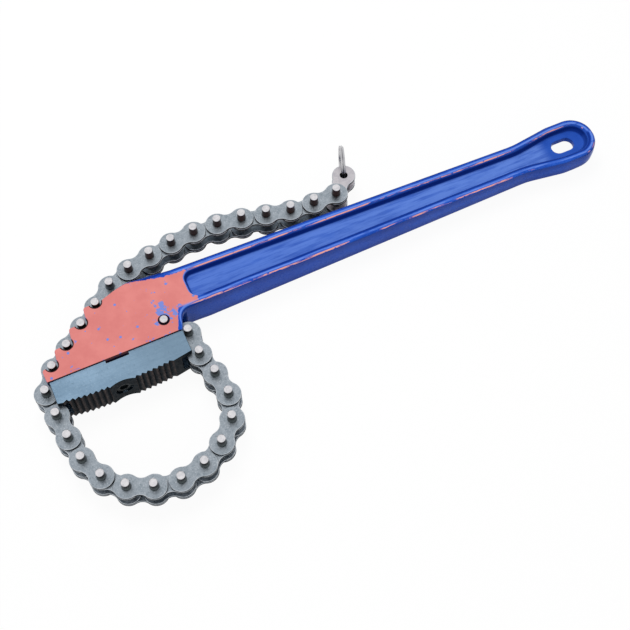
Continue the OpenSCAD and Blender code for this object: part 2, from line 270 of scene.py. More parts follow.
def smooth(x, a, b):
    t = min(1.0, max(0.0, (x - a) / (b - a)))
    return t * t * (3 - 2 * t)


def eased(x, stretch):
    """What a stretch (amount, start, full) gives at x."""
    amount, start, full = stretch
    return amount * smooth(x, start, full)


def notch(k):
    """Centre of a notch, counted from the nose."""
    return NOTCH_1 + k * PITCH * along(NOTCH_SLOPE)


# Colours, from the values that a screen shows
def srgb(r, g, b):
    def lin(c):
        c /= 255.0
        return c / 12.92 if c <= 0.04045 else ((c + 0.055) / 1.055) ** 2.4
    return (lin(r), lin(g), lin(b), 1.0)


# The next two colours are painted shade and a painted highlight, on the forging's rims, bends and recess
SHADE_NAVY = srgb(13, 44, 130)
HIGHLIGHT_BLUE = srgb(106, 142, 228)
FACE_DARK = srgb(30, 74, 176)
FACE_LIGHT = srgb(40, 88, 194)
GRAIN_DARK = srgb(18, 54, 148)
GRAIN_LIGHT = srgb(72, 114, 210)
# Painted shade on the handle's sides
SIDE_SHADE_BLUE = srgb(14, 52, 140)
RECESS_DARK = srgb(34, 74, 168)
RECESS_LIGHT = srgb(46, 88, 184)
# Painted sheen on the recess floor, then painted shade on its walls
SHEEN_BLUE = srgb(98, 134, 216)
WALL_SHADE_BLUE = srgb(9, 38, 116)
SPOT_BLUE = srgb(104, 138, 216)
NOTCH_BLUE = srgb(40, 84, 190)
GLOSS_BLUE = srgb(150, 185, 255)
CORAL_DARK = srgb(212, 126, 122)
CORAL_LIGHT = srgb(221, 136, 131)
CORAL_RIM = srgb(240, 168, 152)
# Painted shade in the gaps round the notches, the anchor pin and the jaw's seat
GAP_SHADE = srgb(28, 16, 18)
PLATE_FLECK = srgb(214, 220, 226)
PLATE_STAIN = srgb(74, 86, 94)
# Painted shade round the pins on the plates, then a painted reflection of the plate on the pins' feet
PIN_SHADE = srgb(26, 33, 37)
PIN_FOOT_REFLECTION = srgb(104, 114, 114)
JAW_FLECK = srgb(176, 200, 216)
JAW_STAIN = srgb(86, 110, 128)
JAW_HANDLE_END_TONE = srgb(118, 142, 162)
# Painted shade on the jaw's front, then a painted highlight for its teeth's tips
FRONT_SHADE_DARK = srgb(3, 11, 18)
FRONT_SHADE_LIGHT = srgb(10, 23, 32)
TOOTH_TIP_HIGHLIGHT = srgb(70, 60, 58)

# Heights of the bumps in the materials, in metres
FINE_BUMP = 0.0002
BROAD_BUMP = 0.0006


class Shader:
    """A material's node tree, with places in millimetres and short calls for the nodes used here."""

    def __init__(self, name):
        self.mat = bpy.data.materials.new(name)
        self.mat.use_nodes = True
        self.tree = self.mat.node_tree
        self.bsdf = self.tree.nodes["Principled BSDF"]
        place = self.node("TexCoord")
        self.coord = self.stretched(TO_MM, TO_MM, TO_MM, place.outputs["Object"])
        self.random = self.node("ObjectInfo").outputs["Random"]

    def node(self, kind):
        return self.tree.nodes.new("ShaderNode" + kind)

    def put(self, socket, value):
        if isinstance(value, bpy.types.NodeSocket):
            self.tree.links.new(value, socket)
        else:
            socket.default_value = value

    def math(self, op, a, b=0.0):
        n = self.node("Math")
        n.operation = op
        self.put(n.inputs[0], a)
        self.put(n.inputs[1], b)
        return n.outputs[0]

    def add(self, a, b):
        return self.math("ADD", a, b)

    def sub(self, a, b):
        return self.math("SUBTRACT", a, b)

    def mul(self, a, *others):
        for b in others:
            a = self.math("MULTIPLY", a, b)
        return a

    def most(self, a, *others):
        for b in others:
            a = self.math("MAXIMUM", a, b)
        return a

    def hypot(self, a, b):
        return self.math("SQRT", self.add(self.mul(a, a), self.mul(b, b)))

    def axis(self, name, vector=None):
        n = self.node("SeparateXYZ")
        self.put(n.inputs[0], vector or self.coord)
        return n.outputs[name]

    def ramp(self, value, low, high, a=0.0, b=1.0, smooth=True):
        n = self.node("MapRange")
        n.interpolation_type = "SMOOTHSTEP" if smooth else "LINEAR"
        for s, v in zip(n.inputs, (value, low, high, a, b)):
            self.put(s, v)
        return n.outputs[0]

    def fall(self, value, low, high):
        return self.ramp(value, low, high, 1.0, 0.0)

    def band(self, value, a, b, c, d):
        """Rises from a to b and falls from c to d."""
        return self.mul(self.ramp(value, a, b), self.fall(value, c, d))

    def stretched(self, x, y, z, vector=None):
        n = self.node("Mapping")
        self.put(n.inputs["Vector"], vector or self.coord)
        n.inputs["Scale"].default_value = (x, y, z)
        return n.outputs[0]

    def noise(self, scale, detail=3.0, rough=0.55, vector=None, w=None):
        n = self.node("TexNoise")
        if w is not None:
            n.noise_dimensions = "4D"
            self.put(n.inputs["W"], w)
        self.put(n.inputs["Vector"], vector or self.coord)
        n.inputs["Scale"].default_value = scale
        n.inputs["Detail"].default_value = detail
        n.inputs["Roughness"].default_value = rough
        return n.outputs["Fac"]

    def far_from(self, x, y):
        """Distance in plan from a place."""
        return self.hypot(self.sub(self.axis("X"), x), self.sub(self.axis("Y"), y))

    def mix(self, fac, a, b):
        n = self.node("Mix")
        n.data_type = "RGBA"
        self.put(n.inputs[0], fac)
        self.put(n.inputs[6], a)
        self.put(n.inputs[7], b)
        return n.outputs[2]

    def bump(self, height, strength, distance):
        n = self.node("Bump")
        n.inputs["Strength"].default_value = strength
        n.inputs["Distance"].default_value = distance
        self.put(n.inputs["Height"], height)
        old = self.bsdf.inputs["Normal"].links
        if old:
            self.put(n.inputs["Normal"], old[0].from_socket)
        self.put(self.bsdf.inputs["Normal"], n.outputs[0])

    def set(self, **values):
        for k, v in values.items():
            self.put(self.bsdf.inputs[k.replace("_", " ").title().replace("Ior", "IOR")], v)


# Blue paint, rubbed through to a coral coat on the flats of the head and on the crests of the rims, with
# painted highlights and painted shade on its rims, recess and gaps
class Paint(Shader):
    """The forging's coats, with the places and noises that they share."""

    def __init__(self, name):
        super().__init__(name)
        self.x = self.axis("X")
        self.y = self.axis("Y")
        face = self.ramp(self.x, TAPER_X, FLARE_X, HEAD_T / 2, NECK_T / 2, smooth=False)
        self.depth = self.sub(face, self.math("ABSOLUTE", self.axis("Z")))
        self.broad = self.noise(0.04, 4, 0.6)
        self.fine = self.noise(0.5, 4, 0.6)
        self.streak = self.noise(1.0, 4, 0.65, self.stretched(0.045, 0.5, 0.5))
        across = self.sub(self.y, AXIS_Y)
        self.far = self.ramp(across, -1.0, 2.0)
        self.near = self.sub(1.0, self.far)
        self.gap = self.rim_gap(across)

    def rim_gap(self, across):
        """How far a place lies inwards from the handle's edge, with a slight wander."""
        half = self.ramp(self.x, TAPER_X, FLARE_X, ROOT_W / 2, NECK_W / 2, smooth=False)
        bulb = self.ramp(self.x, FLARE_X - FLARE_EASE, BULB_X + FLARE_EASE, 0.0, (BULB_W - NECK_W) / 2)
        past = self.most(self.sub(self.x, HANDLE_END - BULB_W / 2), 0.0)
        inwards = self.sub(self.add(half, bulb), self.hypot(past, across))
        return self.add(inwards, self.sub(self.noise(0.05, 2), 0.5))

    def face_blue(self):
        """Mottled blue, with painted shade down the sides and a painted highlight along the bend of the
        shoulder.
        """
        grain = self.noise(1.1, 3, 0.6)
        blue = self.mix(self.ramp(self.broad, *MOTTLE), FACE_DARK, FACE_LIGHT)
        blue = self.mix(self.mul(self.ramp(grain, 0.5, 0.75), 0.4), blue, GRAIN_LIGHT)
        blue = self.mix(self.mul(self.ramp(grain, 0.5, 0.28), 0.4), blue, GRAIN_DARK)
        # Painted shade, darkest near the top of the sides and fading further down
        side = self.mul(self.ramp(self.depth, 0.6, 1.2), self.ramp(self.depth, 1.0, 9.0, 0.85, 0.2))
        blue = self.mix(side, blue, SIDE_SHADE_BLUE)
        # Painted highlight along the shoulder's bend
        bend = self.mul(self.band(self.x, *BEND_HIGHLIGHT_X), self.fall(self.y, AXIS_Y - 12, AXIS_Y - 9))
        bend = self.mul(bend, self.band(self.depth, *BEND_HIGHLIGHT_DEPTH), 0.85)
        return self.mix(bend, blue, HIGHLIGHT_BLUE)

    def recess_blue(self):
        """Painted light-blue sheen on the floor, painted shade on the walls, stronger on the far side, and a
        painted highlight along the fringe at the head's end.
        """
        blue = self.mix(self.ramp(self.broad, *MOTTLE), RECESS_DARK, RECESS_LIGHT)
        sheen = self.mul(self.ramp(self.x, *SHEEN_GROWS), self.fall(self.x, *SHEEN_ENDS))
        sheen = self.mul(sheen, self.ramp(self.depth, *SHEEN_DEPTH), self.ramp(self.streak, *SHEEN_STREAK))
        blue = self.mix(sheen, blue, SHEEN_BLUE)
        wall = self.mul(self.band(self.depth, *WALL_SHADE_DEPTH), self.add(0.6, self.mul(self.far, 0.3)))
        blue = self.mix(wall, blue, WALL_SHADE_BLUE)
        fringe = self.mul(self.band(self.depth, *FRINGE_HIGHLIGHT_DEPTH), self.fall(self.x, *FRINGE_HIGHLIGHT_ENDS), 0.9)
        return self.mix(fringe, blue, HIGHLIGHT_BLUE)

    def rim_highlights_and_shade(self, blue):
        """Lines of painted shade and painted highlight along the two rims of the handle."""
        edge = self.mul(self.far, self.fall(self.gap, *EDGE_SHADE_BAND), 0.85)
        blue = self.mix(edge, blue, SHADE_NAVY)
        high = self.mul(self.far, self.band(self.gap, *HIGH_HIGHLIGHT_BAND), self.ramp(self.streak, *HIGH_HIGHLIGHT_STREAK))
        low = self.mul(self.near, self.band(self.gap, *LOW_HIGHLIGHT_BAND), self.ramp(self.streak, *LOW_HIGHLIGHT_STREAK))
        light = self.mul(self.most(high, low), self.ramp(self.x, *HIGHLIGHTS_START))
        blue = self.mix(light, blue, HIGHLIGHT_BLUE)
        dark = self.mul(self.near, self.band(self.gap, *LOW_SHADE_BAND), self.ramp(self.x, *LOW_SHADE_BAND_START))
        return self.mix(self.mul(dark, 0.85), blue, SHADE_NAVY)

    def head_coat(self):
        """Where the coral coat covers the head: short of the recess, the upper edge and the shoulder."""
        ragged = self.mul(self.sub(self.fine, 0.5), 5.0)
        ahead = self.fall(self.add(self.x, ragged), COAT_X, COAT_X + 0.6)
        top = AXIS_Y + ROOT_W / 2
        crest = self.ramp(self.x, CREST_X, TAPER_X, top + CREST_RISE, top, smooth=False)
        below = self.sub(self.sub(crest, self.y), self.ramp(self.x, *COAT_MARGIN))
        below = self.ramp(self.add(below, self.mul(ragged, 0.6)), 0.0, 0.4)
        side = self.sub(self.x, self.mul(self.sub(self.y, SEAT_Y), 0.4))
        shoulder = self.ramp(self.add(side, self.mul(ragged, 0.3)), JAW_HALF - 3.0, JAW_HALF - 2.6)
        shoulder = self.mul(shoulder, self.fall(self.y, *COAT_SHOULDER_Y))
        return self.mul(ahead, below, self.sub(1.0, shoulder))

    def worn_rims(self):
        """Where the paint is rubbed off the crests of the rims, less towards the bulb."""
        high = self.mul(self.far, self.band(self.gap, *HIGH_WEAR), self.fall(self.depth, 0.4, 0.65))
        low = self.mul(self.near, self.band(self.gap, *LOW_WEAR), self.fall(self.depth, 0.5, 0.75))
        rubbed = self.mul(self.most(high, low), self.ramp(self.x, TAPER_X, TAPER_X + 6))
        rubbed = self.mul(rubbed, self.ramp(self.fine, 0.3, 0.4))
        bare = self.ramp(self.x, *WEAR_X, 0.4, 0.5)
        full = self.ramp(self.x, *WEAR_X, 0.46, 0.58)
        return self.mul(rubbed, self.ramp(self.streak, bare, full))

    def blue_spots(self):
        """Blue left on the coral: round spots, some along the jaw's seat, and patches by the anchor pin."""
        speck = self.node("TexVoronoi")
        speck.voronoi_dimensions = "2D"
        self.put(speck.inputs["Vector"], self.coord)
        speck.inputs["Scale"].default_value = 0.085
        spot = self.fall(self.add(speck.outputs["Distance"], self.mul(self.fine, 0.05)), 0.085, 0.11)
        spot = self.mul(spot, self.ramp(self.axis("X", speck.outputs["Color"]), 0.45, 0.55))
        seat = self.fall(self.y, SEAT_Y + 1.0, SEAT_Y + 2.2)
        seat = self.mul(seat, self.ramp(self.noise(0.3, 2), 0.6, 0.64))
        close = self.ramp(self.far_from(ANCHOR.x + 3.0, ANCHOR.y + 5.0), 2.0, 13.0, 0.24, 0.0)
        patch = self.ramp(self.add(self.noise(0.28, 3, 0.6), close), 0.67, 0.69)
        return self.most(spot, seat, patch)

    def shaded_gaps(self, colour):
        """Painted shade around the notches, the anchor pin and the jaw's seat; blue on the notches' upper
        walls.
        """
        walls = []
        upper = []
        for k in range(NOTCHES):
            c = notch(k)
            near = self.fall(self.far_from(c.x, c.y), NOTCH_R + 0.6, NOTCH_R + 0.85)
            walls.append(near)
            upper.append(self.mul(near, self.ramp(self.y, c.y + 1.4, c.y + 2.0)))
        sunk = self.fall(self.far_from(ANCHOR.x, ANCHOR.y), PIN_R + 1.0, PIN_R + 1.3)
        seat = self.fall(self.y, SEAT_Y + 0.25, SEAT_Y + 0.5)
        seat = self.mul(seat, self.fall(self.x, JAW_HALF - 1.0, JAW_HALF))
        colour = self.mix(self.mul(self.most(*walls, sunk, seat), 0.94), colour, GAP_SHADE)
        return self.mix(self.mul(self.most(*upper), 0.8), colour, NOTCH_BLUE)


def forging_paint(name, recess):
    s = Paint(name)
    head = s.head_coat()
    spots = s.blue_spots()
    flat = s.fall(s.add(s.depth, s.mul(s.fine, 0.1)), *FLAT_DEPTH)
    blue = s.rim_highlights_and_shade(s.recess_blue() if recess else s.face_blue())
    blue = s.mix(s.mul(spots, flat, head), blue, SPOT_BLUE)
    coral = s.mix(s.ramp(s.noise(0.07, 5, 0.65), 0.35, 0.7), CORAL_DARK, CORAL_LIGHT)
    coral = s.mix(head, CORAL_RIM, coral)
    mask = s.mul(s.most(s.mul(flat, head), s.worn_rims()), s.sub(1.0, s.mul(spots, 0.9)))
    s.set(base_color=s.shaded_gaps(s.mix(mask, blue, coral)))
    rough = s.ramp(s.noise(0.3, 4, 0.6), 0.3, 0.75, 0.24, 0.4)
    s.set(roughness=s.add(rough, s.mul(mask, 0.2)))
    s.set(specular_ior_level=0.08, specular_tint=GLOSS_BLUE)
    s.bump(s.noise(0.9, 2, 0.5), 0.12, FINE_BUMP)
    s.bump(s.noise(0.13, 3, 0.5), 0.1, BROAD_BUMP)
    return s.mat


# Steels
def steel(name, light, dark, rough, grain=(1, 1, 1), bump=0.1, blotch=0.05, soot=None, soot_share=0.6,
          metal=1.0, over=None):
    """Steel with blotches and grain; over changes the colour at last, by place."""
    s = Shader(name)
    light = srgb(*light)
    dark = srgb(*dark)
    shift = s.mul(s.random, 7.0)
    broad = s.noise(blotch, 5, 0.62, w=shift)
    line = s.noise(0.3, 4, 0.6, s.stretched(*grain), w=shift)
    colour = s.mix(s.ramp(broad, 0.34, 0.7), dark, light)
    colour = s.mix(s.mul(s.ramp(line, 0.45, 0.75), 0.35), colour, dark)
    if soot:
        spot = s.ramp(s.noise(0.21, 5, 0.7, w=shift), 0.58, 0.72)
        colour = s.mix(s.mul(spot, soot_share), colour, srgb(*soot))
    tint = s.ramp(s.random, 0.0, 1.0, 0.0, 0.22, smooth=False)
    colour = s.mix(tint, colour, dark)
    if over:
        colour = over(s, colour)
    s.set(base_color=colour, metallic=metal)
    if metal < 0.5:
        s.set(specular_ior_level=0.12)
    s.set(roughness=s.ramp(line, 0.3, 0.7, rough - 0.07, rough + 0.12))
    s.bump(line, bump, FINE_BUMP)
    return s.mat


def shaded_feet(s, colour):
    """Flecks and stains on a plate, and painted shade around its two pins."""
    far = s.math("MINIMUM", s.far_from(0.0, 0.0), s.far_from(PITCH, 0.0))
    far = s.add(far, s.mul(s.noise(0.5, 3), 0.6))
    colour = s.mix(s.ramp(s.noise(0.9, 4, 0.65), 0.5, 0.7, 0.0, 0.55), colour, PLATE_FLECK)
    colour = s.mix(s.ramp(s.noise(0.7, 4, 0.7), 0.54, 0.72, 0.0, 0.6), colour, PLATE_STAIN)
    return s.mix(s.ramp(far, PIN_R + 0.3, PIN_R + 1.2, 0.75, 0.0), colour, PIN_SHADE)


def reflected_foot(s, colour):
    """A pin's side, in painted shade, grows paler from its end down to the plate, as a painted reflection of
    the plate.
    """
    z = s.math("ABSOLUTE", s.axis("Z"))
    return s.mix(s.ramp(z, 6.5, 11.5, 0.8, 0.0), colour, PIN_FOOT_REFLECTION)


def darker_towards_handle(s, colour):
    """Flecks and stains on the jaw's cheek, which grows darker towards the handle's end."""
    colour = s.mix(s.ramp(s.noise(0.8, 4, 0.65), 0.5, 0.75, 0.0, 0.4), colour, JAW_FLECK)
    colour = s.mix(s.ramp(s.noise(0.6, 4, 0.7), 0.55, 0.75, 0.0, 0.5), colour, JAW_STAIN)
    return s.mix(s.ramp(s.axis("X"), -20.0, 35.0, 0.0, 0.65), colour, JAW_HANDLE_END_TONE)


def shaded_jaw_front():
    """Gripping face of the jaw in painted shade, with a brownish painted highlight on the tips of its teeth.
    """
    s = Shader("shaded_jaw_front")
    x = s.axis("X")
    tip = s.mul(s.math("POWER", s.mul(s.math("ABSOLUTE", x), 1.0 / JAW_HALF), 3.0), JAW_RISE)
    sunk = s.sub(s.add(s.axis("Y"), JAW_DROP), tip)
    out = s.add(x, ARCH_OFF)
    ease = 0.3
    far_end = -ARCH_HALF - TEETH_FAR * TOOTH_PITCH
    near_end = ARCH_HALF + TEETH * TOOTH_PITCH
    far_row = s.band(out, far_end - ease, far_end, -ARCH_HALF - ease, -ARCH_HALF)
    near_row = s.band(out, ARCH_HALF, ARCH_HALF + ease, near_end, near_end + ease)
    patchy = s.ramp(s.noise(0.25, 4, 0.65), 0.3, 0.65, 0.25, 1.0)
    # Painted highlight near the teeth's tips, fading into the valleys
    tip_highlight = s.mul(s.fall(sunk, 0.1, TOOTH_H * 0.75), s.add(far_row, near_row), patchy)
    base = s.mix(s.ramp(s.noise(0.3, 4, 0.6), 0.35, 0.7), FRONT_SHADE_DARK, FRONT_SHADE_LIGHT)
    s.set(base_color=s.mix(tip_highlight, base, TOOTH_TIP_HIGHLIGHT), specular_ior_level=0.04)
    s.set(roughness=s.ramp(s.noise(0.6, 3), 0.3, 0.7, 0.38, 0.6))
    s.bump(s.noise(0.8, 3), 0.15, FINE_BUMP)
    return s.mat


MATS = {
    "paint": forging_paint("forging_paint", False),
    "recess": forging_paint("recess_paint", True),
    "plate": steel("chain_plate", (176, 184, 192), (142, 152, 161), 0.36, blotch=0.3,
                   soot=(112, 122, 130), over=shaded_feet),
    "end_plate": steel("chain_end_plate", (214, 210, 213), (184, 181, 187), 0.36, blotch=0.3,
                       soot=(150, 148, 152), soot_share=0.4),
    # Painted highlight on the plates' soft edges, then painted shade on their outlines
    "plate_rim_highlight": steel("chain_plate_rim", (228, 231, 235), (168, 176, 184), 0.3, blotch=0.3),
    "plate_edge_shade": steel("chain_plate_edge", (40, 50, 58), (5, 10, 14), 0.45, grain=(1, 1, 6),
                        bump=0.25, metal=0.0),
    "bush": steel("chain_bush", (96, 105, 112), (40, 48, 54), 0.36, grain=(1, 1, 6), metal=0.3),
    "pin_end": steel("pin_end", (236, 234, 236), (204, 203, 207), 0.34, blotch=0.6),
    # Painted shade on the pins' sides, with a painted reflection at their feet
    "pin_side_shade": steel("pin_side_shade", (40, 38, 38), (10, 8, 8), 0.3, grain=(1, 1, 8), metal=0.0,
                      over=reflected_foot),
    # Painted shade with a warm painted reflection, for the tail's plate outlines and pin sides
    "tail_edge_shade": steel("tail_plate_edge", (46, 34, 32), (14, 7, 7), 0.45, grain=(1, 1, 6),
                       bump=0.25, metal=0.0),
    "tail_side_shade": steel("tail_pin_side", (66, 40, 36), (24, 8, 8), 0.3, grain=(1, 1, 8), metal=0.0),
    "jaw": steel("jaw_steel", (152, 181, 206), (128, 156, 180), 0.42, grain=(0.2, 5, 1),
                 soot=(100, 122, 140), soot_share=0.3, over=darker_towards_handle),
    # Painted highlight on the jaw's soft edges, then painted shade on its ends and sides
    "jaw_edge_highlight": steel("jaw_edge_highlight", (206, 216, 224), (132, 150, 164), 0.35, blotch=0.2),
    "jaw_end_shade": steel("jaw_end_shade", (62, 76, 86), (18, 28, 34), 0.42, grain=(1, 1, 4), metal=0.0),
    "shaded_jaw_front": shaded_jaw_front(),
    "screw": steel("screw_steel", (40, 48, 52), (12, 16, 18), 0.4, metal=0.0),
    "ring": steel("ring_steel", (208, 207, 209), (156, 157, 161), 0.25, soot=(70, 68, 66)),
}


# Objects and meshes
def finish_piece(obj, slot_name, body, *replaced):
    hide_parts(*replaced)
    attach(obj, body)


def add_object(name, mesh):
    obj = bpy.data.objects.new(name, mesh)
    scene.collection.objects.link(obj)
    return obj


def move(x=0.0, y=0.0, z=0.0):
    return Matrix.Translation((x * MM, y * MM, z * MM))


def shade(mesh, degrees):
    """Smooth faces, with edges sharper than the angle kept sharp."""
    for p in mesh.polygons:
        p.use_smooth = True
    mesh.set_sharp_from_angle(angle=math.radians(degrees))


def weighted(obj):
    m = obj.modifiers.new("Normals", "WEIGHTED_NORMAL")
    m.keep_sharp = True
    m.weight = 80


def baked(obj):
    """The object's mesh with its modifiers applied."""
    dg = bpy.context.evaluated_depsgraph_get()
    mesh = bpy.data.meshes.new_from_object(obj.evaluated_get(dg))
    old = obj.data
    obj.modifiers.clear()
    obj.data = mesh
    if old.users == 0:
        bpy.data.meshes.remove(old)
    return mesh


def dress(mesh, names, pick):
    """Gives each face the material that pick names for it."""
    mesh.materials.clear()
    for n in names:
        mesh.materials.append(MATS[n])
    for p in mesh.polygons:
        p.material_index = names.index(pick(p))


def joined(name, parts):
    """One mesh from (mesh, matrix) pairs that share their materials."""
    bm = bmesh.new()
    for mesh, matrix in parts:
        first = len(bm.verts)
        bm.from_mesh(mesh)
        bm.verts.ensure_lookup_table()
        bmesh.ops.transform(bm, matrix=matrix, verts=bm.verts[first:])
    out = bpy.data.meshes.new(name)
    bm.to_mesh(out)
    bm.free()
    for m in parts[0][0].materials:
        out.materials.append(m)
    return out


# Outlines in plan
def arc_points(centre, r, a0, a1, step=ARC_STEP):
    n = max(2, int(abs(a1 - a0) / step) + 1)
    return [centre + r * along(a0 + (a1 - a0) * i / n) for i in range(n + 1)]


def circle_points(centre, r, step=ARC_STEP):
    return arc_points(centre, r, 0, TURN, step)[:-1]


def rounded_path(corners, gap=1.2):
    """Closed outline through corners (x, y, radius), with arcs at the corners and points along the sides."""
    n = len(corners)
    pts = []
    for i in range(n):
        b = Vector(corners[i][:2])
        r = corners[i][2]
        if r <= 0:
            pts.append(b)
            continue
        u = (Vector(corners[i - 1][:2]) - b).normalized()
        w = (Vector(corners[(i + 1) % n][:2]) - b).normalized()
        half = u.angle(w) / 2
        c = b + (u + w).normalized() * (r / math.sin(half))
        a0 = heading(b + u * (r / math.tan(half)) - c)
        a1 = heading(b + w * (r / math.tan(half)) - c)
        while a1 - a0 > math.pi:
            a1 -= TURN
        while a1 - a0 < -math.pi:
            a1 += TURN
        pts += arc_points(c, r, a0, a1, min(0.2, max(0.03, 1.2 / r)))
    out = []
    for i, p in enumerate(pts):
        q = pts[(i + 1) % len(pts)]
        m = max(1, int((q - p).length / gap))
        if (q - p).length < 1e-5:
            continue
        out += [p.lerp(q, k / m) for k in range(m)]
    return out


def side_normals(pts):
    """Outward normals of an anticlockwise outline, lengthened at its corners."""
    out = []
    n = len(pts)
    for i in range(n):
        a = (pts[i] - pts[i - 1]).normalized()
        b = (pts[(i + 1) % n] - pts[i]).normalized()
        na = Vector((a.y, -a.x))
        nb = Vector((b.y, -b.x))
        m = (na + nb).normalized()
        out.append(m / max(0.6, m.dot(na)))
    return out


def ring_edges(count, base=0):
    return [(base + i, base + (i + 1) % count) for i in range(count)]


def inside(p, pts, edges):
    """Whether a ray from p to +X crosses the edges an odd number of times."""
    odd = False
    for i, j in edges:
        a, b = pts[i], pts[j]
        if (a.y > p.y) != (b.y > p.y) and p.x < a.x + (p.y - a.y) * (b.x - a.x) / (b.y - a.y):
            odd = not odd
    return odd


class Shell:
    """A mesh made from closed rings of points in millimetres."""

    def __init__(self):
        self.verts = []
        self.faces = []

    def loop(self, points):
        """Ring of points in space."""
        first = len(self.verts)
        self.verts += [(x * MM, y * MM, z * MM) for x, y, z in points]
        return list(range(first, len(self.verts)))

    def ring(self, pts, zs):
        """Ring over an outline in plan."""
        return self.loop([(p.x, p.y, z) for p, z in zip(pts, zs)])

    def level(self, pts, z):
        return self.ring(pts, [z] * len(pts))

    def bridge(self, a, b):
        n = len(a)
        self.faces += [(a[i], a[(i + 1) % n], b[(i + 1) % n], b[i]) for i in range(n)]

    def chained(self, rings):
        """Bridges rings one after the other; gives the last."""
        for a, b in zip(rings, rings[1:]):
            self.bridge(a, b)
        return rings[-1]

    def fill(self, outer, holes, up):
        """Flat cap between an outer ring and the rings of its holes."""
        ids = []
        edges = []
        for ring in [outer] + holes:
            edges += ring_edges(len(ring), len(ids))
            ids += ring
        flat = [Vector(self.verts[i][:2]) * TO_MM for i in ids]
        tris, origin = delaunay_2d_cdt(flat, edges, [], 1, MERGE)[2:4]
        for t in tris:
            corners = [origin[k][0] for k in t]
            a, b, c = (flat[k] for k in corners)
            if not inside((a + b + c) / 3, flat, edges):
                continue
            if ((b - a).cross(c - a) > 0) != up:
                corners.reverse()
            self.faces.append(tuple(ids[k] for k in corners))

    def mesh(self, name):
        m = bpy.data.meshes.new(name)
        m.from_pydata(self.verts, [], self.faces)
        bm = bmesh.new()
        bm.from_mesh(m)
        bmesh.ops.remove_doubles(bm, verts=bm.verts, dist=MERGE)
        bmesh.ops.recalc_face_normals(bm, faces=bm.faces)
        bm.to_mesh(m)
        bm.free()
        return m


def prism(name, pts, half_h):
    s = Shell()
    low = s.level(pts, -half_h)
    high = s.level(pts, half_h)
    s.bridge(low, high)
    s.fill(high, [], True)
    s.fill(low, [], False)
    return add_object(name, s.mesh(name))


def lathe(name, profile, segments=40):
    """Turns a profile of (radius, z) in millimetres about Z."""
    s = Shell()
    last = None
    for r, z in profile:
        ring = s.level([r * along(TURN * i / segments) for i in range(segments)], z)
        if last is not None:
            s.bridge(last, ring)
        last = ring
    return s.mesh(name)


def cut(obj, cutters):
    """Takes the cutters' forms out of the object."""
    for cutter in cutters:
        m = obj.modifiers.new("Cut", "BOOLEAN")
        m.operation = "DIFFERENCE"
        m.solver = "EXACT"
        m.object = cutter
    mesh = baked(obj)
    for o in cutters:
        bpy.data.objects.remove(o)
    return mesh


def pin_places():
    """Places of all chain pins; the loop's open one lies a pitch from both its neighbours."""
    at = {i: joint_at["pivot_%02d" % i] for i in range(LINKS) if i != OPEN_PIN}
    a, b = at[OPEN_PIN - 1], at[OPEN_PIN + 1]
    mid = (a + b) / 2
    rise = math.sqrt((PITCH * MM) ** 2 - (b - a).length_squared / 4)
    side = (b - a).cross(Vector((0, 0, 1))).normalized()
    at[OPEN_PIN] = min(mid + side * rise, mid - side * rise, key=lambda p: p.y)
    at[LINKS] = joint_at["ring_swing"]
    return at


PINS = pin_places()


# Forging
def half_width(x):
    return (ROOT_W + (NECK_W - ROOT_W) * (x - TAPER_X) / (FLARE_X - TAPER_X)) / 2


def face_z(x):
    """Height of the forging's face, which falls along the handle."""
    t = min(1.0, max(0.0, (x - TAPER_X) / (FLARE_X - TAPER_X)))
    return HEAD_T / 2 + t * (NECK_T - HEAD_T) / 2


def edge_radius(p):
    """Roundness of the edge: sharp on the head, larger on the far side, the shoulder and the bulb."""
    upper = EDGE_SHARP + eased(p.x, CREST_SOFT) + eased(p.x, BULB_SOFT)
    lower = EDGE_SHARP + eased(p.x, LOWER_SOFT) + eased(p.x, END_SOFT)
    if p.x > LOWER_FROM:
        lower += eased(p.y, SHOULDER_SOFT) * (1 - eased(p.x, SHOULDER_FADE))
    return lower + eased(p.y, UPPER_SHARE) * (upper - lower)


def wall_run(p):
    """The recess's wall runs out into a gentle slope behind the hanging hole."""
    return 1 + eased(p.x, WALL_RUN)


def cut_circle(a, b, c, r):
    """Point where the line from a inside to b outside meets a circle about c."""
    u = (b - a).normalized()
    f = a - c
    k = -u.dot(f) + math.sqrt(u.dot(f) ** 2 - f.dot(f) + r * r)
    return a + u * k


